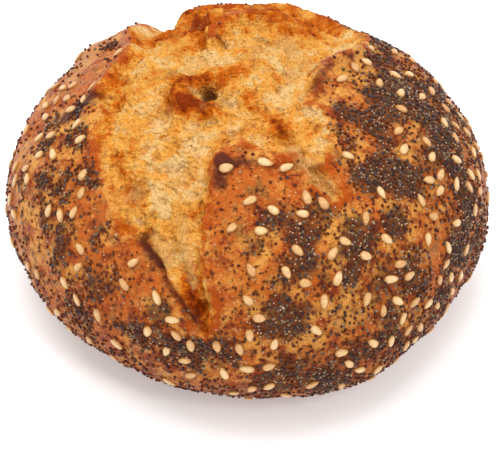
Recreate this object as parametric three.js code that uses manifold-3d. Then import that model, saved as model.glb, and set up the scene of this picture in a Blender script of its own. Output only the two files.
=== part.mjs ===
// A round bread roll, burst open over its crown as it baked and strewn with sesame seeds.
// It is one solid: the sesame seeds are fused to the crust that they are baked into.
// Millimetres, +Z up. The origin is the middle of the flat foot that the roll rests on,
// +X is its right, and -Y its front, the side that the long tear runs down.
import * as THREE from "three";
import { mergeVertices } from "three/addons/utils/BufferGeometryUtils.js";
import Module from "manifold-3d";

const wasm = await Module();
wasm.setup();

// The plain loaf: half its width and depth, how high its widest part is, and how far its
// skin would reach above and below that part. The foot cuts the underside off at the table.
const HALF_WIDTH = 55.2;
const HALF_DEPTH = 54;
const WAIST = 24;
const CROWN = 37;
const UNDER = 27;
const CROWN_POWER = 2.1;
const UNDER_POWER = 2.6;
// The waist isn't a true ellipse: each wave has its count round the roll, its share of the
// radius, and its turn in radians.
const WAIST_WAVES = [
  { count: 4, share: 0.012, turn: 0 },
  { count: 3, share: 0.004, turn: 0.6 },
  { count: 5, share: 0.006, turn: 2 },
];
// Broad bulges and dips of the whole loaf: the bearing in degrees round from +X, the height
// over the table, the radius and the rise.
const BULGES = [
  { bearing: -62, height: 12, radius: 17, rise: 3.2 },
  { bearing: -30, height: 24, radius: 12, rise: -2 },
  { bearing: -155, height: 26, radius: 16, rise: -1 },
  { bearing: 58, height: 53, radius: 9, rise: -3 },
  { bearing: 10, height: 44, radius: 16, rise: -1.2 },
  { bearing: 128, height: 36, radius: 8, rise: 2 },
  { bearing: 175, height: 45, radius: 8, rise: -1 },
  { bearing: 61, height: 44, radius: 9, rise: -1.8 },
  { bearing: 132, height: 40, radius: 6, rise: -1.6 },
  { bearing: 49, height: 44, radius: 7, rise: -1.5 },
  { bearing: 16, height: 40, radius: 5, rise: -1.5 },
];

// The tears in the crust, each a line of places [x, y, half width] on the roll seen from above.
const TEARS = {
  longTear: [
    [-9.3, -52.8, 0.6],
    [-9.9, -51, 1.4],
    [-11.8, -48, 2.8],
    [-13.8, -44, 5],
    [-18, -33, 10.4],
    [-20.3, -20, 12.6],
    [-23, -4, 11],
    [-20.5, 6, 9.5],
    [-17, 14, 9],
    [-18, 24, 9.5],
    [-18.5, 33, 9.5],
    [-18, 45, 6],
  ],
  crownTear: [
    [-10, -8, 14.5],
    [-4, -4, 16.6],
    [4, 9, 13.8],
    [13, 15, 10.5],
    [19, 19.5, 7.6],
    [23, 20.5, 4.5],
  ],
  backRidge: [
    [-12, 24, 9],
    [-8, 32, 12],
    [2, 33, 13],
    [13, 33, 12],
    [20, 27, 8],
  ],
  sideCrack: [
    [3.5, -10, 8.5],
    [6.5, -17, 7.4],
    [12.5, -16, 5.6],
    [13.5, -20.5, 3.8],
    [13.5, -25.5, 1.9],
    [15.5, -28.5, 1.5],
    [18.5, -31.5, 0.4],
  ],
};
const TEAR_DEPTH = 1.7;
const TEAR_BANK = 2;
// The edges of the tears wander: how far apart their bends are, and how far they go aside.
const TEAR_BENDS = [
  { size: 7, rise: 1.4 },
  { size: 3, rise: 0.7 },
];
const LIP_RISE = 0.9;
const LIP_WIDTH = 2.6;

// Folds, knobs and hollows of the skin: the places [x, y] along each, its half width, its rise.
const FOLDS = {
  backRidge: { along: [[-11, 24], [-4, 23], [4, 24], [10, 25]], half: 6, rise: 0.3 },
  ridgeStrand: { along: [[-14, 21], [-8, 19], [0, 20.5], [10, 24]], half: 1.8, rise: 1 },
  upperRidgeStrand: { along: [[-12, 27], [0, 28.5], [12, 29]], half: 1.6, rise: 0.9 },
  underTheBackRidge: { along: [[-13, 15.5], [-9, 14.5], [-4, 15.5]], half: 1.5, rise: -1.5 },
  endOfTheBackRidge: { along: [[-14.5, 34.5]], half: 3, rise: 1.4 },
  browOfTheBackRidge: { along: [[-12, 43], [-6, 44], [1, 45]], half: 5, rise: -1.9 },
  behindTheShoulder: { along: [[-22, 33], [-21, 40], [-20, 47]], half: 4.4, rise: -4.6 },
  leftShoulder: { along: [[-30, 35.5], [-25, 39]], half: 5, rise: -0.6 },
  farLeftShoulder: { along: [[-37, 29]], half: 5, rise: 1 },
  leftGap: { along: [[-24, -38.2], [-19.6, -43.6]], half: 2.2, rise: -2.8 },
  footOfTheLeftGap: { along: [[-18.6, -45], [-15.5, -48.4], [-12, -51.6]], half: 1.2, rise: -1.7 },
  crumbSpine: { along: [[-14.5, -39], [-12.4, -47], [-10.6, -50]], half: 1.5, rise: 1.6 },
  leftBankOfTheSpine: { along: [[-19, -37], [-17, -42.5]], half: 1.8, rise: -1.3 },
  frontPetalEdge: { along: [[-5.5, -25], [-6, -38], [-7.6, -48]], half: 2.2, rise: 1.4 },
  frontPetalTop: { along: [[-5, -26], [6, -25.5]], half: 2, rise: 0.9 },
  rightPetalEdge: { along: [[13.5, -6.5], [16.5, 1.5], [25.5, 12.5]], half: 2, rise: 1.6 },
  leftPetalEdge: { along: [[-35, -18], [-36, -2], [-31, 8], [-28, 16]], half: 2.2, rise: 0.9 },
  craterRing: {
    along: [[-10, -0.5], [-14, -1], [-16, -5], [-14, -9.3], [-10, -10.4]],
    half: 2.5,
    rise: 2.3,
  },
  crater: { along: [[-11.5, -4.2], [-9.5, -5]], half: 1.9, rise: -2 },
  craterPit: { along: [[-9.8, -3], [-9.4, -5]], half: 1.8, rise: -3.8 },
  middleRise: { along: [[-3, 1], [3, 4]], half: 4.5, rise: 1.3 },
  brownKnob: { along: [[7.5, -17]], half: 2.8, rise: 1.4 },
  leftRise: { along: [[-28, -8], [-24, 2], [-22, 12]], half: 3.4, rise: 1.1 },
  leftHollow: { along: [[-20, -9.5]], half: 3.4, rise: -1.9 },
  middleHollow: { along: [[-13, -15.5]], half: 3.2, rise: -1.5 },
  lowHollow: { along: [[-18, -29.5]], half: 4.6, rise: -1.4 },
  lowDent: { along: [[-19.5, -34.5]], half: 2.4, rise: -1.6 },
  lowLeftHollow: { along: [[-27, -29]], half: 3.2, rise: -1.2 },
  backHollow: { along: [[-12, 9]], half: 4, rise: -1.9 },
  rightHollow: { along: [[10.5, 2]], half: 4, rise: -1.6 },
  armHollow: { along: [[6, 14.5], [14, 17]], half: 3.6, rise: -1.3 },
};

// Random swells: how far apart their tops are, and how high they stand.
const CRUST_SWELLS = [
  { size: 15, rise: 0.8 },
  { size: 7, rise: 0.4 },
];
const CRUMB_SWELLS = [
  { size: 10, rise: 1.1 },
  { size: 5, rise: 0.9 },
];

// The skin is divided most finely round the middle of the tear.
const SKIN_DETAIL = 14;
const FINEST_AT = [-8, -8];
const FINEST_PULL = 0.32;

// A sesame seed: it is widest a little below its middle and narrows to the tip.
const SEED_LENGTH = 3.4;
const SEED_WIDTH = 2.1;
const SEED_THICKNESS = 1.1;
const SEED_TAPER = 0.42;
const SEED_TAPER_START = 0.1;
const SEED_SIDES = 6;
const SEED_BANDS = 3;
// How far a seed's middle is over the skin, and how wide a patch of skin tilts it.
const SEED_LIFT = 0.2;
const SEED_FOOTING = 0.03;

// The rule that strews the seeds. Steepest is how far below the waist they may lie, as the
// slope of the direction from the heart.
const SEED_COUNT = 165;
const SEED_SPACING = 3.7;
const SEED_FREE_OF_TEAR = 2.2;
const SEED_LOWEST = 5;
const SEED_STEEPEST = -0.4;
const SEED_FIRST_DRAW = 20;
const SEED_SHARE = { usual: 0.3, swell: 0.3, swellSize: 17, least: 0.05, drift: 0.6 };
// Where the seeds lie thickest: the bearing in degrees round from +X, the height, the radius.
const SEED_DRIFTS = [
  { bearing: 183, height: 44, radius: 17 },
  { bearing: -50, height: 20, radius: 20 },
  { bearing: -93, height: 25, radius: 13 },
  { bearing: 5, height: 44, radius: 16 },
];

const TABLE = 10;
const SAME_CORNER = 1e-5;

const mix = (a, b, t) => a + (b - a) * t;
const clamp = (value, low, high) => Math.min(Math.max(value, low), high);
const smooth = (t) => t * t * (3 - 2 * t);
const bell = (distance, half) => Math.exp(-((distance / half) ** 2));

// A number between -1 and 1 that looks random and is always the same for one lattice corner.
function cornerValue(i, j, k) {
  const mixed = Math.sin(i * 12.9898 + j * 78.233 + k * 37.719) * 43758.5453;
  return 2 * (mixed - Math.floor(mixed)) - 1;
}

// A smooth random swell between -1 and 1, whose tops are about `size` apart.
function swell(point, size) {
  const [x, y, z] = [point.x / size, point.y / size, point.z / size];
  const [i, j, k] = [Math.floor(x), Math.floor(y), Math.floor(z)];
  const [u, v, w] = [smooth(x - i), smooth(y - j), smooth(z - k)];
  const edge = (b, c) => mix(cornerValue(i, b, c), cornerValue(i + 1, b, c), u);
  return mix(mix(edge(j, k), edge(j + 1, k), v), mix(edge(j, k + 1), edge(j + 1, k + 1), v), w);
}

function waistRadius(bearing) {
  const oval = 1 / Math.hypot(Math.cos(bearing) / HALF_WIDTH, Math.sin(bearing) / HALF_DEPTH);
  const waves = WAIST_WAVES.map((wave) => wave.share * Math.cos(wave.count * bearing + wave.turn));
  return oval * (1 + waves.reduce((sum, wave) => sum + wave, 0));
}

// How far the plain loaf's skin is from the heart of the roll, the point on the axis at the
// height of the waist, in a direction given as a unit vector.
function plainReach(direction) {
  const radius = waistRadius(Math.atan2(direction.y, direction.x));
  const [tall, power] = direction.z > 0 ? [CROWN, CROWN_POWER] : [UNDER, UNDER_POWER];
  const out = Math.hypot(direction.x, direction.y) / radius;
  return (out ** power + (Math.abs(direction.z) / tall) ** power) ** (-1 / power);
}

// The direction from the heart to the skin over the place x, y, for places on the upper side.
function above(x, y) {
  const out = Math.hypot(x, y) / waistRadius(Math.atan2(y, x));
  const height = CROWN * (1 - Math.min(out, 1) ** CROWN_POWER) ** (1 / CROWN_POWER);
  return new THREE.Vector3(x, y, height).normalize();
}

// The direction from the heart to the skin at a bearing in degrees and a height over the table.
function beside(bearing, height) {
  const angle = THREE.MathUtils.degToRad(bearing);
  const [tall, power] = height > WAIST ? [CROWN, CROWN_POWER] : [UNDER, UNDER_POWER];
  const share = Math.abs(height - WAIST) / tall;
  const radius = waistRadius(angle) * (1 - share ** power) ** (1 / power);
  return new THREE.Vector3(
    radius * Math.cos(angle),
    radius * Math.sin(angle),
    height - WAIST,
  ).normalize();
}

// A line over the skin, ready for measuring: its directions, with the half width at each.
const lineOver = (places) =>
  places.map(([x, y, half = 0]) => ({ direction: above(x, y), half }));

// How far a direction is outside a line over the skin, in millimetres along the skin.
function outsideLine(direction, reach, line) {
  const nearest = new THREE.Vector3();
  let least = direction.distanceTo(line[0].direction) * reach - line[0].half;
  for (let i = 1; i < line.length; i++) {
    const [from, to] = [line[i - 1], line[i]];
    const step = new THREE.Vector3().subVectors(to.direction, from.direction);
    const along = nearest.subVectors(direction, from.direction).dot(step) / step.lengthSq();
    const t = clamp(along, 0, 1);
    nearest.copy(from.direction).addScaledVector(step, t).normalize();
    const gap = nearest.distanceTo(direction) * reach - mix(from.half, to.half, t);
    least = Math.min(least, gap);
  }
  return least;
}

const tearLines = Object.values(TEARS).map(lineOver);
const foldLines = Object.values(FOLDS).map((fold) => ({ ...fold, line: lineOver(fold.along) }));
const placed = (spot) => ({ ...spot, direction: beside(spot.bearing, spot.height) });
const bulges = BULGES.map(placed);
const seedDrifts = SEED_DRIFTS.map(placed);

const swellSum = (place, swells) =>
  swells.reduce((sum, { size, rise }) => sum + rise * swell(place, size), 0);

// How far outside the tears a direction is, negative inside them.
function outsideTears(direction, reach) {
  const place = direction.clone().multiplyScalar(reach);
  const gap = Math.min(...tearLines.map((line) => outsideLine(direction, reach, line)));
  return gap + swellSum(place, TEAR_BENDS);
}

// How far the skin stands out from the plain loaf.
function relief(direction, reach) {
  const place = direction.clone().multiplyScalar(reach);
  const outside = outsideTears(direction, reach);
  const torn = smooth(clamp(-outside / TEAR_BANK, 0, 1));
  let rise = mix(swellSum(place, CRUST_SWELLS), swellSum(place, CRUMB_SWELLS), torn);
  rise += (1 - torn) * LIP_RISE * bell(outside, LIP_WIDTH) - TEAR_DEPTH * torn;
  for (const fold of foldLines) {
    rise += fold.rise * bell(outsideLine(direction, reach, fold.line), fold.half);
  }
  for (const bulge of bulges) {
    rise += bulge.rise * bell(bulge.direction.distanceTo(direction) * reach, bulge.radius);
  }
  return rise;
}

// The point of the finished skin in a direction.
function skinPoint(direction) {
  const reach = plainReach(direction);
  const point = direction.clone().multiplyScalar(reach + relief(direction, reach));
  point.z += WAIST;
  return point;
}

function solidFrom(geometry) {
  const bare = geometry.clone();
  bare.deleteAttribute("normal");
  bare.deleteAttribute("uv");
  const merged = mergeVertices(bare, SAME_CORNER);
  return new wasm.Manifold(
    new wasm.Mesh({
      numProp: 3,
      vertProperties: new Float32Array(merged.attributes.position.array),
      triVerts: new Uint32Array(merged.index.array),
    }),
  );
}

function geometryOf(solid) {
  const mesh = solid.getMesh();
  return new THREE.BufferGeometry()
    .setAttribute("position", new THREE.BufferAttribute(mesh.vertProperties, 3))
    .setIndex(new THREE.BufferAttribute(mesh.triVerts, 1));
}

// The loaf itself: a ball of triangles whose corners are pulled towards the tear and then
// moved out to the skin, with the foot cut flat.
function loafSolid() {
  const geometry = new THREE.IcosahedronGeometry(1, SKIN_DETAIL);
  const corners = geometry.attributes.position;
  const pull = above(...FINEST_AT).multiplyScalar(FINEST_PULL);
  const direction = new THREE.Vector3();
  for (let i = 0; i < corners.count; i++) {
    direction.fromBufferAttribute(corners, i).add(pull).normalize();
    corners.setXYZ(i, ...skinPoint(direction));
  }
  const table = new THREE.BoxGeometry(4 * HALF_WIDTH, 4 * HALF_WIDTH, TABLE);
  table.translate(0, 0, -TABLE / 2);
  return solidFrom(geometry).subtract(solidFrom(table));
}

// One sesame seed, lying in the XY plane with its pointed end at +Y.
function seedGeometry() {
  const geometry = new THREE.SphereGeometry(0.5, SEED_SIDES, SEED_BANDS);
  const corners = geometry.attributes.position;
  for (let i = 0; i < corners.count; i++) {
    const along = corners.getY(i);
    const narrowing = 1 - SEED_TAPER * (along + SEED_TAPER_START);
    corners.setXYZ(
      i,
      corners.getX(i) * SEED_WIDTH * narrowing,
      along * SEED_LENGTH,
      corners.getZ(i) * SEED_THICKNESS,
    );
  }
  return geometry;
}

// Draws numbers from 0 to 1 that are the same in every run.
function drawsFrom(start) {
  let state = start;
  return () => {
    state = (state * 1664525 + 1013904223) % 4294967296;
    return state / 4294967296;
  };
}

// How thickly the sesame seeds lie in a direction, as a share of the most that there are.
function seedShare(direction, reach) {
  const height = WAIST + direction.z * reach;
  if (height < SEED_LOWEST || outsideTears(direction, reach) < SEED_FREE_OF_TEAR) return 0;
  const place = direction.clone().multiplyScalar(reach);
  let share = SEED_SHARE.usual + SEED_SHARE.swell * swell(place, SEED_SHARE.swellSize);
  for (const drift of seedDrifts) {
    share += SEED_SHARE.drift * bell(drift.direction.distanceTo(direction) * reach, drift.radius);
  }
  return clamp(share, SEED_SHARE.least, 1);
}

// Where the sesame seeds lie: each has its direction and its turn in the skin. A place that
// is drawn is kept by chance, as the share there says, and if it is clear of the others.
function strewnSeeds() {
  const draw = drawsFrom(SEED_FIRST_DRAW);
  const seeds = [];
  while (seeds.length < SEED_COUNT) {
    const [up, round, chance, turn] = [mix(SEED_STEEPEST, 1, draw()), draw(), draw(), draw()];
    const out = Math.sqrt(1 - up * up);
    const bearing = 2 * Math.PI * round;
    const direction = new THREE.Vector3(out * Math.cos(bearing), out * Math.sin(bearing), up);
    const reach = plainReach(direction);
    const share = seedShare(direction, reach) * (reach / HALF_WIDTH) ** 2;
    const place = direction.clone().multiplyScalar(reach);
    const clear = seeds.every((seed) => seed.place.distanceTo(place) > SEED_SPACING);
    if (chance < share && clear) seeds.push({ direction, place, turn: 2 * Math.PI * turn });
  }
  return seeds;
}

// Finds the point of the faceted skin in a direction from the heart.
function faceterOf(loaf) {
  const mesh = new THREE.Mesh(geometryOf(loaf));
  const heart = new THREE.Vector3(0, 0, WAIST);
  return (direction) => {
    const outside = heart.clone().addScaledVector(direction, 2 * HALF_WIDTH);
    return new THREE.Raycaster(outside, direction.clone().negate()).intersectObject(mesh)[0].point;
  };
}

// Lays a seed on the faceted skin, flat along it and a little sunk in.
function seedMatrix({ direction, turn }, facetPoint) {
  const side = new THREE.Vector3(-direction.y, direction.x, 0).normalize();
  const rise = new THREE.Vector3().crossVectors(direction, side);
  const skin = (a, b) =>
    skinPoint(direction.clone().addScaledVector(side, a).addScaledVector(rise, b).normalize());
  const across = skin(SEED_FOOTING, 0).sub(skin(-SEED_FOOTING, 0));
  const up = skin(0, SEED_FOOTING).sub(skin(0, -SEED_FOOTING));
  const outward = across.clone().cross(up).normalize();
  const along = across.normalize().applyAxisAngle(outward, turn);
  const width = new THREE.Vector3().crossVectors(along, outward);
  return new THREE.Matrix4()
    .makeBasis(width, along, outward)
    .setPosition(facetPoint(direction).addScaledVector(outward, SEED_LIFT));
}

function breadRoll() {
  const loaf = loafSolid();
  const seed = seedGeometry();
  const facetPoint = faceterOf(loaf);
  const seeds = strewnSeeds().map((place) =>
    solidFrom(seed.clone().applyMatrix4(seedMatrix(place, facetPoint))),
  );
  const whole = seeds.reduce((sum, next) => sum.add(next), loaf);
  const crust = new THREE.MeshStandardMaterial({ color: 0xb5702c, roughness: 0.55, metalness: 0 });
  const mesh = new THREE.Mesh(geometryOf(whole), crust);
  mesh.name = "bread_roll";
  return mesh;
}

const roll = new THREE.Group();
roll.name = "seeded_bread_roll";
roll.add(breadRoll());

export default roll;
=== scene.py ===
# A round bread roll, burst open over its crown and strewn with sesame and poppy seeds.
# Shapes are worked out in millimetres, in the same frame as the solid, and each finished
# mesh is put down in metres.
import math

from types import SimpleNamespace

import bpy
import numpy as np
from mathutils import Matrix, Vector
from mathutils.bvhtree import BVHTree


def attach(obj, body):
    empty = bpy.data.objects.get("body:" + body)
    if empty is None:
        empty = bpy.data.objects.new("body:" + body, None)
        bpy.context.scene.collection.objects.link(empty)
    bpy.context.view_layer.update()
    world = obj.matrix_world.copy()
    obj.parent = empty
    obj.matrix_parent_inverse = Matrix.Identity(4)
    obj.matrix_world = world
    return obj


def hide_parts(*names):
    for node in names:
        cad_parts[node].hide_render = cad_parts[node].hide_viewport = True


MM = 0.001

# The plain loaf: half its width and depth, how high its widest part is, and how far its
# skin would reach above and below that part. The foot cuts the underside off at the table.
HALF_WIDTH = 55.2
HALF_DEPTH = 54
WAIST = 24
CROWN = 37
UNDER = 27
CROWN_POWER = 2.1
UNDER_POWER = 2.6
# Each wave of the waist: its count round the roll, its share of the radius, its turn.
WAIST_WAVES = [(4, 0.012, 0), (3, 0.004, 0.6), (5, 0.006, 2)]
# Broad bulges and dips of the whole loaf: the bearing in degrees round from +X, the height,
# the radius, the rise.
BULGES = [
    (-62, 12, 17, 3.2),
    (-30, 24, 12, -2),
    (-155, 26, 16, -1),
    (58, 53, 9, -3),
    (10, 44, 16, -1.2),
    (128, 36, 8, 2),
    (175, 45, 8, -1),
    (61, 44, 9, -1.8),
    (132, 40, 6, -1.6),
    (49, 44, 7, -1.5),
    (16, 40, 5, -1.5),
]

# The tears in the crust, each a line of places (x, y, half width) seen from above.
LONG_TEAR = [
    (-9.3, -52.8, 0.6),
    (-9.9, -51, 1.4),
    (-11.8, -48, 2.8),
    (-13.8, -44, 5),
    (-18, -33, 10.4),
    (-20.3, -20, 12.6),
    (-23, -4, 11),
    (-20.5, 6, 9.5),
    (-17, 14, 9),
    (-18, 24, 9.5),
    (-18.5, 33, 9.5),
    (-18, 45, 6),
]
CROWN_TEAR = [
    (-10, -8, 14.5),
    (-4, -4, 16.6),
    (4, 9, 13.8),
    (13, 15, 10.5),
    (19, 19.5, 7.6),
    (23, 20.5, 4.5),
]
BACK_RIDGE = [
    (-12, 24, 9),
    (-8, 32, 12),
    (2, 33, 13),
    (13, 33, 12),
    (20, 27, 8),
]
SIDE_CRACK = [
    (3.5, -10, 8.5),
    (6.5, -17, 7.4),
    (12.5, -16, 5.6),
    (13.5, -20.5, 3.8),
    (13.5, -25.5, 1.9),
    (15.5, -28.5, 1.5),
    (18.5, -31.5, 0.4),
]
TEARS = [LONG_TEAR, CROWN_TEAR, BACK_RIDGE, SIDE_CRACK]
TEAR_DEPTH = 1.7
TEAR_BANK = 2
TEAR_WANDER = 1.4
# The swells in which the tears' edges wander: how far apart their tops are, and their share.
TEAR_WANDER_SWELLS = [(7, 1), (3, 0.5)]
LIP_RISE = 0.9
LIP_WIDTH = 2.6

# Folds, knobs and hollows of the skin: the places (x, y) along each, its half width, its rise.
FOLDS = {
    "back ridge": ([(-11, 24), (-4, 23), (4, 24), (10, 25)], 6, 0.3),
    "ridge strand": ([(-14, 21), (-8, 19), (0, 20.5), (10, 24)], 1.8, 1),
    "upper ridge strand": ([(-12, 27), (0, 28.5), (12, 29)], 1.6, 0.9),
    "under the back ridge": ([(-13, 15.5), (-9, 14.5), (-4, 15.5)], 1.5, -1.5),
    "end of the back ridge": ([(-14.5, 34.5)], 3, 1.4),
    "brow of the back ridge": ([(-12, 43), (-6, 44), (1, 45)], 5, -1.9),
    "behind the shoulder": ([(-22, 33), (-21, 40), (-20, 47)], 4.4, -4.6),
    "left shoulder": ([(-30, 35.5), (-25, 39)], 5, -0.6),
    "far left shoulder": ([(-37, 29)], 5, 1),
    "left gap": ([(-24, -38.2), (-19.6, -43.6)], 2.2, -2.8),
    "foot of the left gap": ([(-18.6, -45), (-15.5, -48.4), (-12, -51.6)], 1.2, -1.7),
    "crumb spine": ([(-14.5, -39), (-12.4, -47), (-10.6, -50)], 1.5, 1.6),
    "left bank of the spine": ([(-19, -37), (-17, -42.5)], 1.8, -1.3),
    "front petal edge": ([(-5.5, -25), (-6, -38), (-7.6, -48)], 2.2, 1.4),
    "front petal top": ([(-5, -26), (6, -25.5)], 2, 0.9),
    "right petal edge": ([(13.5, -6.5), (16.5, 1.5), (25.5, 12.5)], 2, 1.6),
    "left petal edge": ([(-35, -18), (-36, -2), (-31, 8), (-28, 16)], 2.2, 0.9),
    "crater ring": ([(-10, -0.5), (-14, -1), (-16, -5), (-14, -9.3), (-10, -10.4)], 2.5, 2.3),
    "crater": ([(-11.5, -4.2), (-9.5, -5)], 1.9, -2),
    "crater pit": ([(-9.8, -3), (-9.4, -5)], 1.8, -3.8),
    "middle rise": ([(-3, 1), (3, 4)], 4.5, 1.3),
    "brown knob": ([(7.5, -17)], 2.8, 1.4),
    "left rise": ([(-28, -8), (-24, 2), (-22, 12)], 3.4, 1.1),
    "left hollow": ([(-20, -9.5)], 3.4, -1.9),
    "middle hollow": ([(-13, -15.5)], 3.2, -1.5),
    "low hollow": ([(-18, -29.5)], 4.6, -1.4),
    "low dent": ([(-19.5, -34.5)], 2.4, -1.6),
    "low left hollow": ([(-27, -29)], 3.2, -1.2),
    "back hollow": ([(-12, 9)], 4, -1.9),
    "right hollow": ([(10.5, 2)], 4, -1.6),
    "arm hollow": ([(6, 14.5), (14, 17)], 3.6, -1.3),
}
# Random swells: how far apart their tops are, and how high they stand.
CRUST_SWELLS = [(15, 0.8), (7, 0.4)]
CRUMB_SWELLS = [(10, 1.1), (5, 0.9)]

# The skin's own fine relief, on top of the shape that the solid has: how far apart its tops
# are, and how high they stand or how deep the pores go.
CRUST_GRAIN = [(3.4, 0.2), (1.9, 0.14)]
CRUMB_STRANDS = [(5.2, 0.26), (2.7, 0.24), (1.5, 0.2), (0.9, 0.14)]
CRUMB_PORES = [(4.2, 0.6), (2.2, 0.4)]
# The radius of a pore, and how far it is moved, as shares of how far apart they are.
PORE_RADIUS = 0.4
PORE_JITTER = 0.45
# How the edge between crust and crumb is frayed.
EDGE_RAGS = [(2, 0.8), (1, 0.5)]
# How far the strands are bent sideways, by swells this far apart.
STRAND_BEND = 1.6
STRAND_BEND_SIZE = 4.5

# How the skin is divided: evenly, then pulled towards one place, then once more in the tears.
SKIN_CUTS = 7
FINEST_AT = (-8, -8)
FINEST_PULL = 0.32
FINE_MARGIN = 1.5

# Where the crust is darker as painted shade: wholly below a height, and less over so many
# millimetres above it.
LOW_HEIGHT = 4
LOW_FADE = 36
# How the oven has coloured the skin, with painted shade in its deepest hollows: the places (x,
# y) along each stain, its half width, its strength.
TOASTED = [
    ([(-10.5, -0.5), (-15, -1), (-16.5, -5), (-14, -8.5)], 3, 1.3),
    ([(-13.5, -9.5), (-9.5, -9.5)], 2.6, 1.4),
    ([(-5, -1), (-1, 3)], 3.4, 0.8),
    ([(-14, 24), (-6, 26), (4, 28), (16, 28)], 8, 1.2),
    ([(-12, 38), (2, 42), (18, 38)], 8, 1.2),
    ([(-25, 24), (-21, 27)], 4, 1),
    ([(-29, 12), (-33, -4), (-33, -12)], 3.6, 1),
    ([(-29, -20), (-28, -31)], 2.6, 0.9),
    ([(-12.5, -48), (-9.5, -53)], 2.6, 1.6),
    ([(-7, -22), (-8, -34), (-9, -44)], 2, 0.8),
    ([(-28, -36), (-20, -40)], 2.4, 0.8),
    ([(7.5, -17)], 3.6, 1.2),
    ([(0, -10), (5, -12)], 3, 0.6),
]
SCORCHED_AND_SHADED = [
    ([(-5.5, -25.5), (-4, -26.5), (1, -26)], 1.7, 0.9),
    ([(-5.5, -27), (-6, -31)], 2.2, 1),
    ([(7.6, -18)], 2.2, 0.6),
    ([(14, -6), (16, -1)], 2, 0.8),
    ([(17.5, 2.5), (25, 11)], 1.4, 0.6),
    ([(-35, -1), (-41, -2)], 3.2, 1.2),
    ([(15, 2), (17, 6)], 1.8, 0.4),
    # These three: painted shade in the crater pit, in the left gap and at its foot.
    ([(-9.8, -3.4), (-9.4, -5.2)], 1.9, 1.8),
    ([(-23.8, -38.4), (-19.4, -43.8)], 1.5, 1.2),
    ([(-18, -46), (-15.5, -48.4), (-12, -51.6)], 1.2, 0.8),
    ([(-13, -49), (-10, -52.5)], 1.3, 0.5),
    # Painted shadow under the overhang of the back ridge.
    ([(-13, 15.2), (-9, 14.4), (-5, 15.4)], 0.9, 0.7),
    ([(-35.5, -10), (-35, -20), (-31, -29)], 1.4, 0.5),
]
PALE = [
    ([(-12, 9)], 4, 1),
    ([(-20, -9.5)], 3.2, 1),
    ([(-13, -15.5)], 3, 0.7),
    ([(-18, -29.5), (-14, -27)], 3.6, 0.9),
    ([(-27, -29)], 3.2, 0.9),
    ([(10.5, 2)], 3.6, 1),
    ([(0.5, 12), (8, 16)], 3, 0.6),
    ([(-14.5, -38), (-13, -45), (-12.2, -47.6)], 1.6, 1.2),
    ([(10, -22.5), (14, -27), (17.5, -31)], 1.9, 1.6),
    ([(11, 17), (12, 8)], 4.5, 0.9),
    ([(-42, 13), (-38, 24), (-32, 32)], 5, 1),
    ([(-12.4, -4)], 1.6, 1.2),
    ([(-21.6, -38.4), (-17.6, -43.6)], 1.5, 1.2),
]

# A sesame seed, and the rule that strews the sesame seeds.
SESAME_LENGTH = 3.4
SESAME_WIDTH = 2.1
SESAME_THICKNESS = 1.1
SESAME_TAPER = 0.42
SESAME_SIDES = 10
SESAME_BANDS = 7
SESAME_LIFT = 0.2
SESAME_FOOTING = 0.03
SESAME_COUNT = 265
SESAME_SPACING = 3.7
SESAME_FREE_OF_TEAR = 2.2
SESAME_LOWEST = 5
SESAME_FIRST_DRAW = 20
# The steepest way down from the heart in which a seed is drawn.
SESAME_LOWEST_WAY = -0.4
# How thickly the sesame lies: everywhere, how much that varies and how far apart, in the
# middle of a drift, and at least.
SESAME_EVERYWHERE = 0.3
SESAME_UNEVEN = 0.3
SESAME_DRIFT_SIZE = 17
SESAME_IN_DRIFT = 0.6
SESAME_LEAST = 0.05
# Where the sesame lies thickest: the bearing in degrees round from +X, the height, the radius.
SESAME_DRIFTS = [(183, 44, 17), (-50, 20, 20), (-93, 25, 13), (5, 44, 16)]
# How the seeds differ in size, how wide the pale middle of a hull is, and their random seed. The
# darker edge round that middle is partly toasted hull and partly painted shade.
SESAME_SIZES = (0.88, 1.08)
SESAME_HEART = 0.6
SESAME_SEED = 5
# Where along a seed, as a share of its length, the taper leaves its width as it is.
SESAME_PLAIN_AT = -0.1
# The radius of the ball from which a seed is shaped, and how deep a seed is roughened.
BALL_RADIUS = 0.5
SEED_BUMP = 0.08

# A poppy seed, and the rule that strews the poppy seeds. The shape and the sizes are shares
# of the size, and the turns are in radians.
POPPY_SIZE = 0.78
POPPY_SHAPE = (0.86, 1.12, 0.8)
POPPY_SIZES = (0.85, 1.1)
POPPY_SIDES = 6
POPPY_BANDS = 4
POPPY_LIFTS = (0.05, 0.24)
POPPY_TURNS = (0, 6.3)
POPPY_FOOTING = 0.012
POPPY_SPACING = 0.56
POPPY_CLEAR_OF_SESAME = 1.35
POPPY_FREE_OF_TEAR = 2
POPPY_LOWEST = 2.5
POPPY_LOWEST_WAY = -0.45
POPPY_SEED = 7
POPPY_CANDIDATES = 140000
POPPY_KINDS = ["blue", "brown", "grey"]
# The share of blue and grey ones where the poppy lies thinly.
POPPY_FEWEST_DARK = 0.15
# Some poppy seeds are small and pale, a painted highlight that stands in for glints: the tint
# from which they are, how small they are, and how much higher they lie.
POPPY_GLINT_TINT = 0.84
POPPY_GLINT_SIZE = 0.56
POPPY_GLINT_LIFT = 0.1
# How thickly the poppy lies: everywhere, and low down on the roll, from a height downwards
# over so many millimetres, in swells so far apart.
POPPY_EVERYWHERE = 0.025
POPPY_LOW_DOWN = 0.055
POPPY_LOW_DOWN_FROM = 46
POPPY_LOW_DOWN_OVER = 30
POPPY_LOW_DOWN_SWELL = 9
# How thickly it lies in a drift, and where a drift ends and over how much of it it thins out,
# as shares of its radius.
POPPY_IN_DRIFT = 0.5
POPPY_DRIFT_END = 1.9
POPPY_DRIFT_FADE = 1.3
# How a drift's edge is frayed and its thickness varies: how far apart, and how much.
POPPY_FRAYS = [(5, 1.8), (2.5, 1.2)]
POPPY_SWELLS = [(3.1, 0.5), (1.7, 0.4)]
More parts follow.
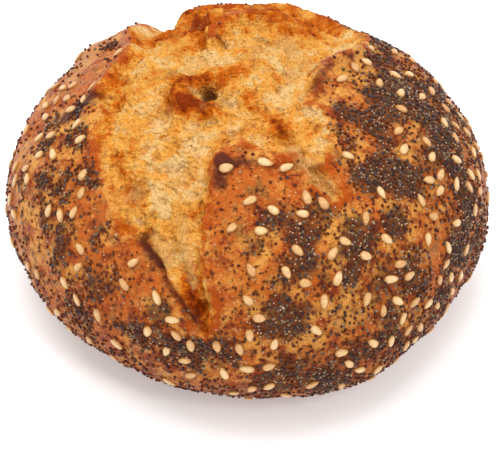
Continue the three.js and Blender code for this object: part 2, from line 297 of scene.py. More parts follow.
# Each drift of poppy seeds: the bearing, the height, the radius, the thickness.
POPPY_DRIFTS = [
    (146, 50, 2.4, 0.6), (-178, 52, 2.4, 0.8), (-164, 51, 3, 0.9), (-179, 46, 2.2, 0.6),
    (-170, 45, 2.4, 0.8), (-160, 44, 3.2, 0.8), (-166, 37, 2.4, 0.6), (-147, 50, 2.2, 0.8),
    (-152, 45, 2.8, 0.6), (-151, 38, 2.8, 0.5), (-146, 40, 2.6, 0.5), (-133, 43, 2, 0.7),
    (-143, 33, 2.6, 0.4), (-125, 37, 2.4, 0.5), (-131, 34, 2.6, 0.5), (-135, 26, 2.6, 0.3),
    (-135, 22, 3, 0.4), (-111, 35, 2.4, 0.8), (-121, 27, 2.4, 0.6), (-116, 26, 3, 0.8),
    (-108, 25, 3.4, 1), (-102, 25, 3.4, 1), (-96, 27, 3.4, 0.9), (-96, 56, 2, 0.5),
    (-75, 49, 3.4, 1.3), (-76, 44, 3, 1.3), (-82, 35, 4.6, 1.3), (-85, 51, 1.8, 0.9),
    (-88, 48, 1.6, 0.9), (-64, 51, 2.2, 0.7), (-64, 45, 2.2, 1), (-58, 46, 3.4, 1.1),
    (-60, 43, 2, 0.9), (-65, 41, 2, 0.8), (-73, 44, 2.6, 1.1), (-26, 54, 2.6, 1),
    (-36, 51, 4, 1.2), (-44, 52, 3.4, 1.2), (-33, 48, 3, 1.1), (-14, 48, 3, 1),
    (-14, 43, 3, 1), (-18, 37, 3.4, 1.1), (-45, 45, 2.4, 1), (-29, 31, 4, 1.2),
    (-44, 30, 3, 1), (34, 52, 3.4, 1.1), (20, 55, 2.4, 1), (-2, 55, 4.6, 1.3),
    (6, 52, 4, 1.2), (-8, 54, 3.4, 1.2), (-25, 56, 2.8, 1), (-26, 58, 2, 0.9),
    (-38, 56, 2.6, 0.8), (34, 42, 5, 0.9), (12, 44, 5, 0.9), (-5, 48, 4, 1),
    (-83, 19, 4.6, 0.8), (-73, 15, 4, 0.8), (-68, 16, 4, 0.8), (-62, 23, 3, 0.6),
    (-55, 26, 3, 0.6), (-36, 22, 4, 0.7), (50, 46, 8, 0.8), (75, 30, 7, 0.8),
    (95, 44, 7, 0.9), (110, 22, 8, 0.7), (130, 30, 6, 0.7), (155, 30, 7, 0.8),
    (170, 22, 6, 0.6), (20, 25, 7, 0.7), (60, 15, 7, 0.6), (-52, 34, 4, 0.5),
    (-45, 37, 3, 0.6), (-20, 25, 6, 0.5), (-48, 16, 6, 0.5), (5, 49, 12, 0.45),
    (-20, 42, 9, 0.35), (-66, 28, 12, 0.22),
]
# Where hardly a poppy seed lies: the share that is missing, and the places (x, y) along each
# clearing with its half width.
POPPY_CLEARED = 0.9
POPPY_CLEARINGS = [
    ([(-4, -29), (7, -27)], 4),
    ([(-4, -33), (-5, -46)], 3),
    ([(-30, -36), (-25, -42)], 3.5),
    ([(-38, 8), (-36, 14)], 4),
]

# The numbers kept for each of the loaf's vertices that colour it.
LOAF_STORED = [
    "outside",
    "torn",
    "strand",
    "standing",
    "toasted",
    "scorched",
    "pale",
    "seeded",
    "low",
]
# The noises that colour it: how many millimetres apart their features are, how many finer
# layers they have and how strong those are.
LOAF_NOISES = {
    "broad": (13, 3, 0.5),
    "patch": (4.6, 3, 0.6),
    "olive": (6.3, 3, 0.6),
    "fleck": (1.7, 3, 0.7),
    "fine": (0.75, 2, 0.7),
    "speck": (0.95, 1, 0.5),
}
# How far outside the tear the middle of its brown rim lies, and how deep the loaf is roughened.
RIM_MIDDLE = 0.9
LOAF_BUMP = 0.3

# Colours as they show on a screen, from 0 to 255. The palest ones go past what a screen shows,
# and only shade brings them back.
COLOURS = {
    "light amber": (242, 166, 76),
    "dark amber": (206, 104, 36),
    # Painted shade that darkens the crust low down.
    "shaded low crust": (186, 98, 42),
    "olive crust": (152, 104, 52),
    "browned crust": (152, 54, 18),
    "burnt crust": (112, 52, 32),
    # Scorched crust, also used as painted shade in the pit, the gaps and under the back ridge.
    "scorched crust": (84, 36, 28),
    "dark speck": (80, 38, 22),
    # Painted highlight: pale specks that stand in for glints on the crust.
    "painted glint speck": (244, 184, 112),
    # Painted shade between the poppy seeds where they lie thickly.
    "shade between seeds": (104, 56, 34),
    "thin crust": (226, 164, 100),
    "pale crumb": (264, 216, 142),
    "golden crumb": (262, 184, 80),
    "orange crumb": (232, 118, 18),
    "brown crumb": (160, 56, 4),
    "grey crumb": (192, 146, 78),
    "creamy crumb": (248, 186, 108),
    # Painted shade in the crumb's pores, and a painted highlight on its strands.
    "shade in crumb pores": (160, 78, 12),
    "highlight on crumb strands": (268, 228, 148),
    # Scorched crumb, also used as painted shade in the pit and the gaps.
    "scorched crumb": (92, 38, 14),
    "rim of the crust": (194, 82, 8),
    "light hull": (260, 226, 170),
    "dark hull": (240, 182, 112),
    # The hulls' edges: partly toasted, partly painted shade where a seed turns away.
    "light hull's shaded edge": (224, 160, 84),
    "dark hull's shaded edge": (190, 120, 54),
    "dark blue poppy": (70, 50, 50),
    "light blue poppy": (138, 114, 110),
    "dark brown poppy": (106, 46, 28),
    "light brown poppy": (152, 78, 46),
    "dark grey poppy": (96, 70, 54),
    "light grey poppy": (190, 164, 132),
    "poppy's hollows": (34, 20, 18),
    # Painted highlight: the pale seeds that stand in for glints.
    "poppy glint": (220, 184, 150),
}

# The camera, as the photograph was taken, in millimetres, degrees and pixels.
VIEW_ELEVATION = 42
VIEW_DISTANCE = 620
VIEW_TARGET_HEIGHT = 27
PHOTO_WIDTH = 500
PHOTO_HEIGHT = 453
PHOTO_FOCAL = 2672.8
PHOTO_MIDDLE = (248.3, 184.7)
SENSOR_WIDTH = 36

# The studio, in metres and watts: how wide its floor is, how strongly that glows, its two
# greys and how many millimetres their clouds are apart; the sky; and each lamp with its name,
# place, size and power.
WHITE = (1, 1, 1, 1)
FLOOR_SIZE = 6
FLOOR_GLOW = 0.27
FLOOR_GREYS = (0.88, 0.9)
FLOOR_CLOUD_SIZE = 400
SKY_STRENGTH = 0.75
LAMPS = [("overhead", (-0.1, 0.1, 0.9), 0.8, 7), ("front", (0.4, -0.6, 0.8), 0.2, 2)]
# How much brighter the studio's light is than one that shows colours as they are.
BRIGHTNESS = 1.25


# Sums on arrays of places and directions


def mix(a, b, t):
    return a + (b - a) * t


def smooth(t):
    t = np.clip(t, 0, 1)
    return t * t * (3 - 2 * t)


def bell(distance, half):
    return np.exp(-((distance / half) ** 2))


def corner_value(i, j, k):
    """A number from -1 to 1 that looks random and is always the same for a lattice corner."""
    mixed = np.sin(i * 12.9898 + j * 78.233 + k * 37.719) * 43758.5453
    return 2 * (mixed - np.floor(mixed)) - 1


def swell(places, size):
    """A smooth random swell from -1 to 1, whose tops are about size apart."""
    scaled = places / size
    corner = np.floor(scaled)
    i, j, k = corner.T
    u, v, w = smooth(scaled - corner).T

    def edge(b, c):
        return mix(corner_value(i, b, c), corner_value(i + 1, b, c), u)

    return mix(mix(edge(j, k), edge(j + 1, k), v), mix(edge(j, k + 1), edge(j + 1, k + 1), v), w)


def strands(places, size):
    """Narrow ridges that wander, from -3 to 1, on average near 0."""
    return 1 - 4 * np.abs(swell(places, size))


def pores(places, size):
    """The share of a pore at each place: 1 in its middle, 0 outside it."""
    corner = np.floor(places / size)
    nearest = np.full(len(places), 9.0)
    for offset in np.ndindex(3, 3, 3):
        cell = corner + np.array(offset) - 1
        i, j, k = cell.T
        jitter = np.stack([corner_value(i + s, j - s, k + 2 * s) for s in (11, 23, 41)], 1)
        middle = (cell + 0.5 + PORE_JITTER * jitter) * size
        nearest = np.minimum(nearest, np.linalg.norm(places - middle, axis=1) / size)
    return smooth(1 - nearest / PORE_RADIUS)


def unit(vectors):
    return vectors / np.linalg.norm(vectors, axis=-1, keepdims=True)


# The loaf's shape


def waist_radius(bearing):
    oval = 1 / np.hypot(np.cos(bearing) / HALF_WIDTH, np.sin(bearing) / HALF_DEPTH)
    waves = sum(share * np.cos(count * bearing + turn) for count, share, turn in WAIST_WAVES)
    return oval * (1 + waves)


def plain_reach(directions):
    """How far the plain loaf's skin is from the heart, the point on the axis at the waist."""
    x, y, z = directions.T
    out = np.hypot(x, y) / waist_radius(np.arctan2(y, x))
    tall = np.where(z > 0, CROWN, UNDER)
    power = np.where(z > 0, CROWN_POWER, UNDER_POWER)
    return (out**power + (np.abs(z) / tall) ** power) ** (-1 / power)


def above(x, y):
    """The direction from the heart to the skin over the place x, y of the upper side."""
    out = min(np.hypot(x, y) / waist_radius(np.arctan2(y, x)), 1)
    return unit(np.array([x, y, CROWN * (1 - out**CROWN_POWER) ** (1 / CROWN_POWER)]))


def beside(bearing, height):
    """The direction from the heart to the skin at a bearing in degrees and a height."""
    angle = math.radians(bearing)
    tall, power = (CROWN, CROWN_POWER) if height > WAIST else (UNDER, UNDER_POWER)
    radius = waist_radius(angle) * (1 - (abs(height - WAIST) / tall) ** power) ** (1 / power)
    return unit(np.array([radius * math.cos(angle), radius * math.sin(angle), height - WAIST]))


def gap_to(directions, reach, direction):
    return np.linalg.norm(directions - direction, axis=1) * reach


def outside_line(directions, reach, line):
    """How far directions are outside a line over the skin, in millimetres along the skin."""
    ends = np.array([above(x, y) for x, y, *_ in line])
    halves = [place[2] if len(place) > 2 else 0 for place in line]
    least = gap_to(directions, reach, ends[0]) - halves[0]
    for i in range(len(line) - 1):
        step = ends[i + 1] - ends[i]
        t = np.clip((directions - ends[i]) @ step / (step @ step), 0, 1)
        nearest = unit(ends[i] + t[:, None] * step)
        gap = gap_to(directions, reach, nearest) - mix(halves[i], halves[i + 1], t)
        least = np.minimum(least, gap)
    return least


def marked(directions, reach, marks):
    """The sum of what marks on the skin, such as folds or stains, do in each direction."""
    return sum(
        amount * bell(outside_line(directions, reach, places), half)
        for places, half, amount in marks
    )


def outside_tears(directions, reach):
    """How far directions are outside the tears, negative inside them. The edges wander."""
    places = directions * reach[:, None]
    gap = np.min([outside_line(directions, reach, line) for line in TEARS], axis=0)
    wander = sum(share * swell(places, size) for size, share in TEAR_WANDER_SWELLS)
    return gap + TEAR_WANDER * wander


def relief(directions, reach, outside):
    """How far the skin stands out from the plain loaf, as far as the solid shows it."""
    places = directions * reach[:, None]
    torn = smooth(-outside / TEAR_BANK)
    crust, crumb = (
        sum(rise * swell(places, size) for size, rise in swells)
        for swells in (CRUST_SWELLS, CRUMB_SWELLS)
    )
    rise = -TEAR_DEPTH * torn + mix(crust, crumb, torn)
    rise += (1 - torn) * LIP_RISE * bell(outside, LIP_WIDTH)
    rise += marked(directions, reach, FOLDS.values())
    for bearing, height, radius, amount in BULGES:
        rise += amount * bell(gap_to(directions, reach, beside(bearing, height)), radius)
    return rise


def skin_points(directions):
    """The points of the solid's skin in each direction."""
    reach = plain_reach(directions)
    out = reach + relief(directions, reach, outside_tears(directions, reach))
    return directions * out[:, None] + np.array([0, 0, WAIST])


def crumb_relief(places):
    """The fine strands and pores of the torn crumb."""
    orders = ([0, 1, 2], [1, 2, 0], [2, 0, 1])
    sideways = [swell(places[:, order], STRAND_BEND_SIZE) for order in orders]
    bent = places +STRAND_BEND * np.stack(sideways, 1)
    ridges = sum(rise * strands(bent, size) for size, rise in CRUMB_STRANDS)
    return ridges - sum(depth * pores(bent, size) for size, depth in CRUMB_PORES)


def crust_grain(places):
    return sum(rise * swell(places, size) for size, rise in CRUST_GRAIN)


# Meshes


def vertex_places(mesh):
    places = np.empty(3 * len(mesh.vertices))
    mesh.vertices.foreach_get("co", places)
    return places.reshape(-1, 3)


def set_vertex_places(mesh, places):
    mesh.vertices.foreach_set("co", places.astype(np.float32).ravel())
    mesh.update()


def store(mesh, name, values):
    """Keeps a number for each vertex, for the materials to read."""
    attribute = mesh.attributes.new(name, "FLOAT", "POINT")
    attribute.data.foreach_set("value", np.asarray(values, np.float32))


def alone(thing):
    bpy.ops.object.select_all(action="DESELECT")
    thing.select_set(True)
    bpy.context.view_layer.objects.active = thing


def divide_faces(mesh, chosen):
    """Divides the chosen faces once, and their neighbours as far as they have to follow."""
    bpy.ops.object.mode_set(mode="EDIT")
    bpy.ops.mesh.select_mode(type="FACE")
    bpy.ops.mesh.select_all(action="DESELECT")
    bpy.ops.object.mode_set(mode="OBJECT")
    mesh.polygons.foreach_set("select", chosen)
    bpy.ops.object.mode_set(mode="EDIT")
    bpy.ops.mesh.subdivide(number_cuts=1)
    bpy.ops.mesh.select_all(action="SELECT")
    bpy.ops.mesh.quads_convert_to_tris()
    bpy.ops.object.mode_set(mode="OBJECT")


def ball_of_directions():
    """A ball of triangles, finest round the middle of the tear and finer again inside it."""
    bpy.ops.object.select_all(action="DESELECT")
    bpy.ops.mesh.primitive_ico_sphere_add(subdivisions=SKIN_CUTS, radius=1)
    ball = bpy.context.object
    mesh = ball.data
    directions = unit(unit(vertex_places(mesh)) + FINEST_PULL * above(*FINEST_AT))
    set_vertex_places(mesh, directions)
    torn = outside_tears(directions, plain_reach(directions)) < FINE_MARGIN
    corners = np.empty(3 * len(mesh.polygons), int)
    mesh.polygons.foreach_get("vertices", corners)
    divide_faces(mesh, torn[corners.reshape(-1, 3)].any(axis=1))
    return ball


def make_loaf():
    loaf = ball_of_directions()
    loaf.name = "loaf"
    mesh = loaf.data
    directions = unit(vertex_places(mesh))
    reach = plain_reach(directions)
    outside = outside_tears(directions, reach)
    places = directions * reach[:, None]
    ragged = outside + sum(rise * swell(places, size) for size, rise in EDGE_RAGS)
    torn = smooth(0.5 - ragged)
    coarse = relief(directions, reach, outside)
    strand = crumb_relief(places)
    out = reach + coarse + mix(crust_grain(places), strand, torn)
    skin = directions * out[:, None]
    skin[:, 2] = np.maximum(skin[:, 2] + WAIST, 0)
    set_vertex_places(mesh, skin * MM)
    store(mesh, "outside", ragged)
    store(mesh, "torn", torn)
    store(mesh, "strand", strand)
    store(mesh, "standing", coarse + TEAR_DEPTH * smooth(-outside / TEAR_BANK))
    store(mesh, "toasted", marked(directions, reach, TOASTED))
    # Scorched spots, and painted shade in the pit, the gaps and under the back ridge.
    store(mesh, "scorched", marked(directions, reach, SCORCHED_AND_SHADED))
    store(mesh, "pale", marked(directions, reach, PALE))
    # How thickly the poppy lies, also for the painted shade between the seeds.
    store(mesh, "seeded", np.clip(poppy_share(directions, reach), 0, 1))
    # How low the skin is, for the painted shade that darkens the crust towards the bottom.
    store(mesh, "low", smooth(1 - (skin[:, 2] - LOW_HEIGHT) / LOW_FADE))
    alone(loaf)
    bpy.ops.object.shade_smooth()
    return loaf


# Seeds


def draws_from(start):
    """Draws numbers from 0 to 1 that are the same in every run."""
    state = start
    while True:
        state = (state * 1664525 + 1013904223) % 4294967296
        yield state / 4294967296


def sesame_share(direction, reach):
    """How thickly the sesame lies in a direction, as a share of the most that there is."""
    height = WAIST + direction[2] * reach
    here, reach = direction[None], np.array([reach])
    if height < SESAME_LOWEST or outside_tears(here, reach)[0] < SESAME_FREE_OF_TEAR:
        return 0
    share = SESAME_EVERYWHERE + SESAME_UNEVEN * swell(here * reach, SESAME_DRIFT_SIZE)[0]
    for bearing, drift_height, radius in SESAME_DRIFTS:
        gap = gap_to(here, reach, beside(bearing, drift_height))[0]
        share += SESAME_IN_DRIFT * bell(gap, radius)
    return min(max(share, SESAME_LEAST), 1)


def strewn_sesame():
    """The directions of the sesame seeds, and how far each is turned in the skin."""
    draw = draws_from(SESAME_FIRST_DRAW)
    directions, places, turns = [], np.empty((0, 3)), []
    while len(directions) < SESAME_COUNT:
        up, round_share, chance, turn = (next(draw) for _ in range(4))
        up = mix(SESAME_LOWEST_WAY, 1, up)
        out = math.sqrt(1 - up * up)
        bearing = 2 * math.pi * round_share
        direction = np.array([out * math.cos(bearing), out * math.sin(bearing), up])
        reach = plain_reach(direction[None])[0]
        place = direction * reach
        if (np.linalg.norm(places - place, axis=1) <= SESAME_SPACING).any():
            continue
        if chance < sesame_share(direction, reach) * (reach / HALF_WIDTH) ** 2:
            directions.append(direction)
            places = np.vstack([places, place])
            turns.append(2 * math.pi * turn)
    return np.array(directions), np.array(turns)


def skin_frames(directions, turns, footing):
    """For a seed in each direction: its width, its length and the way out of the skin."""
    side = unit(np.stack([-directions[:, 1], directions[:, 0], 0 * directions[:, 0]], 1))
    rise = np.cross(directions, side)

    def step(way):
        return skin_points(unit(directions + footing * way)) - skin_points(
            unit(directions - footing * way)
        )

    across, up = unit(step(side)), step(rise)
    outward = unit(np.cross(across, up))
    turns = turns[:, None]
    along = across * np.cos(turns) + np.cross(outward, across) * np.sin(turns)
    return np.cross(along, outward), along, outward


def points_on_skin(skin, directions):
    """Where rays towards the heart meet the finished skin, in millimetres."""
    heart = Vector((0, 0, WAIST * MM))
    hits = []
    for direction in directions:
        way = Vector(direction)
        hit = skin.ray_cast(heart + way * (2 * HALF_WIDTH * MM), -way)[0]
        hits.append(np.array(hit) / MM)
    return np.array(hits)


def ball_template(sides, bands):
    """The corners and faces of a ball 1 across, with its poles at +Y and -Y."""
    bpy.ops.object.select_all(action="DESELECT")
    bpy.ops.mesh.primitive_uv_sphere_add(segments=sides, ring_count=bands, radius=BALL_RADIUS)
    ball = bpy.context.object
    corners = vertex_places(ball.data)[:, [0, 2, 1]]
    faces = [tuple(reversed(face.vertices)) for face in ball.data.polygons]
    bpy.data.objects.remove(ball)
    return corners, faces


def joined(name, corners, faces, tints):
    """One mesh of many copies: corners has a row of places for each copy."""
    count, size, _ = corners.shape
    mesh = bpy.data.meshes.new(name)
    every = [tuple(c + size * i for c in face) for i in range(count) for face in faces]
    mesh.from_pydata((corners.reshape(-1, 3) * MM).tolist(), [], every)
    mesh.update()
    thing = bpy.data.objects.new(name, mesh)
    bpy.context.collection.objects.link(thing)
    store(mesh, "tint", np.repeat(tints, size))
    alone(thing)
    bpy.ops.object.shade_smooth()
    return thing


def laid_out(shape, sizes, frames, seats):
    """A row of places for each seat: those of the shape, grown and turned to lie there."""
    width, length, outward = frames
    grown = shape[None] * sizes[:, None, :]
    return (
        grown[..., 0:1] * width[:, None]
        + grown[..., 1:2] * length[:, None]
        + grown[..., 2:3] * outward[:, None]
        + seats[:, None]
    )


def make_sesame(skin, directions, turns):
    """Flat teardrops, lying along the skin and a little sunk in."""
    random = np.random.default_rng(SESAME_SEED)
    corners, faces = ball_template(SESAME_SIDES, SESAME_BANDS)
    along = corners[:, 1]
    narrowing = 1 - SESAME_TAPER * (along - SESAME_PLAIN_AT)
    shape = np.stack(
        [
            corners[:, 0] * SESAME_WIDTH * narrowing,
            along * SESAME_LENGTH,
            corners[:, 2] * SESAME_THICKNESS,
        ],
        1,
    )
    frames = skin_frames(directions, turns, SESAME_FOOTING)
    seats = points_on_skin(skin, directions) + SESAME_LIFT * frames[2]
    sizes = random.uniform(*SESAME_SIZES, (len(directions), 3))
    placed = laid_out(shape, sizes, frames, seats)
    seeds = joined("sesame_seeds", placed, faces, random.random(len(directions)))
    # The pale middle of each hull; the edge round it is darker, partly as painted shade.
    edge = np.hypot(corners[:, 0], corners[:, 1]) / BALL_RADIUS
    heart = 1 - smooth((edge - SESAME_HEART) / (1 - SESAME_HEART))
    store(seeds.data, "heart", np.tile(heart, len(directions)))
    return seeds


def poppy_share(directions, reach):
    """How thickly the poppy seeds lie, as a share of the most that there is."""
    places = directions * reach[:, None]
    height = WAIST + places[:, 2]
    low_down = POPPY_LOW_DOWN * smooth((POPPY_LOW_DOWN_FROM - height) / POPPY_LOW_DOWN_OVER)
    share = POPPY_EVERYWHERE + low_down * (1 + swell(places, POPPY_LOW_DOWN_SWELL))
    frayed = sum(much * swell(places, size) for size, much in POPPY_FRAYS)
    for bearing, drift_height, radius, thickness in POPPY_DRIFTS:
        gap = gap_to(directions, reach, beside(bearing, drift_height)) + frayed
        within = smooth((POPPY_DRIFT_END - gap / radius) / POPPY_DRIFT_FADE)
        share += POPPY_IN_DRIFT * thickness * within
    share = share * sum((much * swell(places, size) for size, much in POPPY_SWELLS), 1)
    share *= smooth(outside_tears(directions, reach) / POPPY_FREE_OF_TEAR)
    for line, half in POPPY_CLEARINGS:
        share *= 1 - POPPY_CLEARED * bell(outside_line(directions, reach, line), half)
    share[height < POPPY_LOWEST] = 0
    return share


def strewn_poppy(taken):
    """The directions of the poppy seeds, clear of each other and of the sesame."""
    random = np.random.default_rng(POPPY_SEED)
    up = random.uniform(POPPY_LOWEST_WAY, 1, POPPY_CANDIDATES)
    bearing = random.uniform(0, 2 * math.pi, POPPY_CANDIDATES)
    out = np.sqrt(1 - up * up)
    directions = np.stack([out * np.cos(bearing), out * np.sin(bearing), up], 1)
    reach = plain_reach(directions)
    share = poppy_share(directions, reach) * (reach / HALF_WIDTH) ** 2
    wanted = random.random(POPPY_CANDIDATES) < share
    places = directions * reach[:, None]
    cells = {}
    for place in taken:
        cell = tuple(np.floor(place).astype(int))
        cells.setdefault(cell, []).append((place, POPPY_CLEAR_OF_SESAME))
    kept = []
    for i in np.flatnonzero(wanted):
        place = places[i]
        cell = np.floor(place).astype(int)
        near = [
            other
            for step in np.ndindex(5, 5, 5)
            for other in cells.get(tuple(cell + np.array(step) - 2), ())
        ]
        if all(np.linalg.norm(place - other) > gap for other, gap in near):
            cells.setdefault(tuple(cell), []).append((place, POPPY_SPACING))
            kept.append(i)
    return directions[kept]


def poppy_kinds(directions, random):
    """The kind of each poppy seed. Where they lie thinly, nearly all are brown."""
    crowd = np.clip(poppy_share(directions, plain_reach(directions)), 0, 1)
    brown = random.random(len(directions)) > POPPY_FEWEST_DARK + crowd
    return np.where(brown, "brown", random.choice(["blue", "grey"], len(directions)))


def make_poppy(skin, name, directions, random):
    """Small eggs of few faces, lying on the skin."""
    corners, faces = ball_template(POPPY_SIDES, POPPY_BANDS)
    count = len(directions)
    tints = random.random(count)
    # Some seeds are small and pale, a painted highlight that stands in for glints.
    glints = tints > POPPY_GLINT_TINT
    frames = skin_frames(directions, random.uniform(*POPPY_TURNS, count), POPPY_FOOTING)
    lifts = random.uniform(*POPPY_LIFTS, count) + POPPY_GLINT_LIFT * glints
    seats = points_on_skin(skin, directions) + lifts[:, None] * frames[2]
    sizes = POPPY_SIZE * random.uniform(*POPPY_SIZES, (count, 1)) * np.array([POPPY_SHAPE])
    sizes[glints] *= POPPY_GLINT_SIZE
    return joined(name, laid_out(corners, sizes, frames, seats), faces, tints)


# Materials


class Number:
    """A socket of a material, on which sums are written with the usual signs."""

    def __init__(self, paint, socket):
        self.paint = paint
        self.socket = socket

    def sum_with(self, operation, *parts):
        return self.paint.node("ShaderNodeMath", {"operation": operation}, parts)

    def __add__(self, other):
        return self.sum_with("ADD", self, other)

    def __sub__(self, other):
        return self.sum_with("SUBTRACT", self, other)

    def __rsub__(self, other):
        return self.sum_with("SUBTRACT", other, self)

    def __mul__(self, other):
        return self.sum_with("MULTIPLY", self, other)

    __radd__ = __add__
    __rmul__ = __mul__

    def held(self, low=0, high=1):
        """The number's way from low to high, as a smooth share from 0 to 1."""
        return self.paint.node(
            "ShaderNodeMapRange",
            {"interpolation_type": "SMOOTHSTEP"},
            {"Value": self, "From Min": low, "From Max": high},
        )


class Paint:
    """A material in the making, with its shader and the nodes that feed it."""

    def __init__(self, name, **constants):
        self.material = bpy.data.materials.new(name)
        self.material.use_nodes = True
        self.tree = self.material.node_tree
        self.shader = self.tree.nodes["Principled BSDF"]
        for socket, value in constants.items():
            self.shader.inputs[socket.replace("_", " ")].default_value = value
        self.places = self.node("ShaderNodeTexCoord", {}, {}, "Object")

    def node(self, kind, settings, inputs, output=0):
        """Adds a node, with its settings set first, and gives one of its outputs."""
        made = self.tree.nodes.new(kind)
        for setting, value in settings.items():
            setattr(made, setting, value)
        named = inputs.items() if isinstance(inputs, dict) else enumerate(inputs)
        for socket, value in named:
            if isinstance(value, Number):
                self.tree.links.new(value.socket, made.inputs[socket])
            else:
                made.inputs[socket].default_value = value
        return Number(self, made.outputs[output])

    def stored(self, name):
        return self.node("ShaderNodeAttribute", {"attribute_name": name}, {}, "Fac")

    def noise(self, size, detail=2, roughness=0.5):
        """A random number round 0, mostly within 1 of it, with features about size mm apart."""
        made = self.node(
            "ShaderNodeTexNoise",
            {},
            {
                "Vector": self.places,
                "Scale": 1 / (size * MM),
                "Detail": detail,
                "Roughness": roughness,
            },
        )
        return (made - 0.5) * 5

    def blend(self, below, over, share):
        """Lays one colour over another."""
        return self.node(
            "ShaderNodeMix",
            {"data_type": "RGBA"},
            {0: share, 6: below, 7: over},
            2,
        )

    def layered(self, colour, *layers):
        """Lays colours over a first one in turn, each given as its name and its share."""
        for name, share in layers:
            colour = self.blend(colour, tone(name), share)
        return colour

    def feed(self, socket, value):
        self.tree.links.new(value.socket, self.shader.inputs[socket])

    def bump(self, height, depth):
        """Roughens the surface: a height of 1 stands depth mm out."""
        normal = self.node(
            "ShaderNodeBump",
            {},
            {"Strength": 1, "Distance": depth * MM, "Height": height},
        )
        self.feed("Normal", normal)


def tone(name):
    """One of the named colours as a material needs it, in the studio's bright light."""
    linear = [
        (c / 12.92 if c <= 0.04045 else ((c + 0.055) / 1.055) ** 2.4) / BRIGHTNESS
        for c in (part / 255 for part in COLOURS[name])
    ]
    return (*linear, 1)


def loaf_marks(paint):
    """What the loaf's colours follow: the numbers kept for its vertices, and the noises."""
    stored = {name: paint.stored(name) for name in LOAF_STORED}
    noises = {name: paint.noise(*noise) for name, noise in LOAF_NOISES.items()}
    return SimpleNamespace(**stored, **noises)


def crust_colour(paint, marks):
    """Amber where the crust is thin, red-brown where it has browned, and speckled; darker
    towards the bottom and between the poppy seeds as painted shade, with pale specks as painted
    highlights.
    """
    # Both grow towards the bottom, a painted shade there.
    browned = marks.patch * 0.9 + marks.fleck * 0.5 - marks.broad * 0.4 + marks.low * 0.5
    burnt = marks.low * 0.4 - marks.olive * 0.8 + marks.fleck * 0.6
    return paint.layered(
        tone("light amber"),
        ("dark amber", (marks.patch + marks.broad).held(-1, 0.6)),
        # Painted shade towards the bottom.
        ("shaded low crust", marks.low * 0.6),
        ("olive crust", (marks.olive + marks.fleck * 0.4).held(0, 1) * 0.75),
        ("browned crust", browned.held(-0.1, 0.9) * 0.85),
        ("burnt crust", burnt.held(0.25, 1.25) * 0.8),
        ("dark speck", (marks.speck + marks.fleck * 0.5).held(0.5, 1.1) * 0.85),
        # Painted highlight: pale specks that stand in for glints.
        ("painted glint speck", (marks.fine - marks.speck * 0.6).held(0.5, 1.2) * 0.55),
        # Painted shade between the poppy seeds where they lie thickly.
        ("shade between seeds", (marks.seeded + marks.fleck * 0.05).held(0.02, 0.6) * 0.85),
        ("thin crust", (marks.pale + marks.fleck * 0.3 - 0.2).held(0.1, 1) * 0.6),
    )


def crumb_colour(paint, marks):
    """Pale in the torn crumb's hollows, golden, and brown where it stands out; darker in its
    pores as painted shade, lighter on its strands as painted highlight.
    """
    browning = marks.toasted * 1.2 + marks.standing * 0.15 + marks.patch + marks.broad * 0.35
    browning = browning + marks.fleck * 0.5 - 0.15
    grey = marks.olive + marks.pale * 0.6 - marks.fleck * 0.4
    # How far the strands stand out, with random flecks: for painted shade in the pores and a
    # painted highlight on the strands.
    depth = marks.strand * 0.6 + marks.fleck * 0.4 + marks.fine * 0.45 + marks.speck * 0.3
    strand_highlight = depth.held(0.2, 1.3) * (1 - marks.toasted.held(0.1, 1) * 0.95)
    return paint.layered(
        tone("pale crumb"),
        ("golden crumb", browning.held(-0.9, 0.1)),
        ("orange crumb", browning.held(0.1, 1.2)),
        ("brown crumb", browning.held(1, 2.1)),
        ("grey crumb", grey.held(0.3, 1.4) * 0.6),
        ("creamy crumb", (marks.pale + marks.fleck * 0.3 - 0.2).held(0.1, 1) * 0.75),
        # Painted shade in the pores, and a painted highlight on the strands.
        ("shade in crumb pores", (0 - depth).held(0.2, 1.6) * 0.75),
        ("highlight on crumb strands", strand_highlight * 0.75),
    )


def loaf_paint():
    paint = Paint("crust and crumb", Specular_IOR_Level=0.12, Specular_Tint=(1, 0.8, 0.6, 1))
    marks = loaf_marks(paint)
    beyond = marks.outside - RIM_MIDDLE
    patchy = (marks.patch * 0.8 + marks.fleck * 0.7 + 0.5).held()
    rim = (1 - (beyond * beyond * 0.3).held()) * patchy
    colour = paint.blend(crust_colour(paint, marks), crumb_colour(paint, marks), marks.torn)
    colour = paint.blend(colour, tone("rim of the crust"), rim * 0.75)
    # Dark where scorched, and painted shade in the crater pit, the left gap and under the back
    # ridge.
    scorch = paint.blend(tone("scorched crust"), tone("scorched crumb"), marks.torn)
    scorched = (marks.scorched + marks.fleck * 0.2).held(0.25, 1.1)
    colour = paint.blend(colour, scorch, scorched * 0.9)
    paint.feed("Base Color", colour)
    paint.feed("Roughness", marks.torn * 0.35 + 0.42 + marks.fleck * 0.06)
    rough = marks.fleck * 0.6 + marks.fine * 0.75 + marks.speck * 0.4
    paint.bump(rough * (marks.torn * 0.6 + 0.7), LOAF_BUMP)
    return paint.material


def sesame_paint():
    paint = Paint("sesame", Roughness=0.36, IOR=1.5)
    tint = paint.stored("tint")
    hull = paint.blend(tone("light hull"), tone("dark hull"), tint)
    # The darker edge is partly toasted hull and partly painted shade where the seed turns away.
    edge = paint.blend(tone("light hull's shaded edge"), tone("dark hull's shaded edge"), tint)
    blotch = (paint.noise(0.9) + 0.5).held() * 0.3
    colour = paint.blend(paint.blend(edge, hull, paint.stored("heart")), edge, blotch)
    paint.feed("Base Color", colour)
    paint.bump(paint.noise(0.5), SEED_BUMP)
    return paint.material


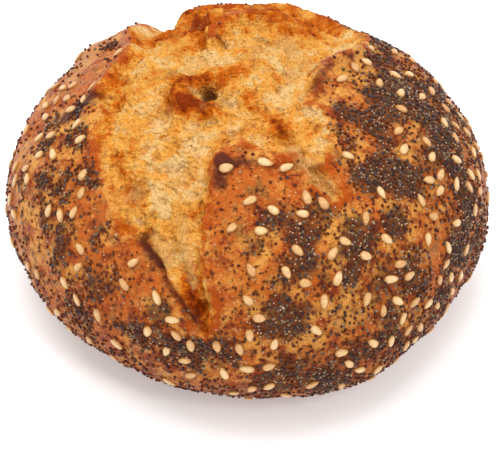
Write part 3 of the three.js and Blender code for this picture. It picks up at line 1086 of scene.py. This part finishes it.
def poppy_paint(kind):
    paint = Paint(
        kind + " poppy",
        Roughness=0.4,
        Specular_IOR_Level=0.2,
        Specular_Tint=(1, 0.7, 0.55, 1),
    )
    tint = paint.stored("tint")
    colour = paint.layered(
        tone(f"dark {kind} poppy"),
        (f"light {kind} poppy", tint * tint),
        ("poppy's hollows", paint.noise(0.35).held(-0.2, 1) * 0.5),
        # Painted highlight: the pale seeds stand in for glints.
        ("poppy glint", tint.held(POPPY_GLINT_TINT - 0.01, POPPY_GLINT_TINT)),
    )
    paint.feed("Base Color", colour)
    paint.bump(paint.noise(0.25), SEED_BUMP)
    return paint.material


# The studio


def floor_and_lights():
    """A pale floor, which glows so that the shadow on it stays light, a sky and the lamps."""
    bpy.ops.mesh.primitive_plane_add(size=FLOOR_SIZE)
    floor = bpy.context.object
    floor.name = "floor"
    paint = Paint(
        "pale floor",
        Roughness=0.9,
        Emission_Color=WHITE,
        Emission_Strength=FLOOR_GLOW,
    )
    darker, lighter = ((grey, grey, grey, 1) for grey in FLOOR_GREYS)
    cloudy = paint.noise(FLOOR_CLOUD_SIZE).held(-1, 1)
    paint.feed("Base Color", paint.blend(darker, lighter, cloudy))
    floor.data.materials.append(paint.material)
    world = bpy.data.worlds.new("studio")
    bpy.context.scene.world = world
    world.use_nodes = True
    background = world.node_tree.nodes["Background"]
    background.inputs["Color"].default_value = WHITE
    background.inputs["Strength"].default_value = SKY_STRENGTH
    for name, at, size, power in LAMPS:
        bpy.ops.object.light_add(type="AREA", location=at)
        lamp = bpy.context.object
        lamp.name = name
        lamp.data.size = size
        lamp.data.energy = power
        lamp.rotation_euler = (-Vector(at)).to_track_quat("-Z", "Y").to_euler()


def add_camera():
    elevation = math.radians(VIEW_ELEVATION)
    back = Vector((0, -math.cos(elevation), math.sin(elevation)))
    at = Vector((0, 0, VIEW_TARGET_HEIGHT)) + back * VIEW_DISTANCE
    bpy.ops.object.camera_add(location=at * MM)
    camera = bpy.context.object
    camera.rotation_euler = (-back).to_track_quat("-Z", "Y").to_euler()
    camera.data.sensor_width = SENSOR_WIDTH
    camera.data.lens = PHOTO_FOCAL / PHOTO_WIDTH * SENSOR_WIDTH
    camera.data.shift_x = (PHOTO_WIDTH / 2 - PHOTO_MIDDLE[0]) / PHOTO_WIDTH
    camera.data.shift_y = (PHOTO_MIDDLE[1] - PHOTO_HEIGHT / 2) / PHOTO_WIDTH
    bpy.context.scene.camera = camera


def dress(thing, paint):
    thing.data.materials.append(paint)
    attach(thing, "root")
    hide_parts("bread_roll")


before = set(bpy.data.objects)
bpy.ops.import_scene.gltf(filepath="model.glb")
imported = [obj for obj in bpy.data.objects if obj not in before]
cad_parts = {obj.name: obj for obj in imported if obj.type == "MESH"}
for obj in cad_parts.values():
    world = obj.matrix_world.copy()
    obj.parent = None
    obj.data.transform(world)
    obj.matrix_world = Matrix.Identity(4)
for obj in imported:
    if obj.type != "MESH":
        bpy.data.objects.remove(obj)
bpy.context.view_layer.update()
bpy.context.scene.view_settings.view_transform = "Standard"
add_camera()
floor_and_lights()

loaf = make_loaf()
dress(loaf, loaf_paint())
skin = BVHTree.FromObject(loaf, bpy.context.evaluated_depsgraph_get())

sesame_directions, sesame_turns = strewn_sesame()
sesame = make_sesame(skin, sesame_directions, sesame_turns)
dress(sesame, sesame_paint())

poppy_directions = strewn_poppy(sesame_directions * plain_reach(sesame_directions)[:, None])
poppy_random = np.random.default_rng(POPPY_SEED + 1)
kinds = poppy_kinds(poppy_directions, poppy_random)
for kind in POPPY_KINDS:
    directions = poppy_directions[kinds == kind]
    seeds = make_poppy(skin, kind + "_poppy_seeds", directions, poppy_random)
    dress(seeds, poppy_paint(kind))
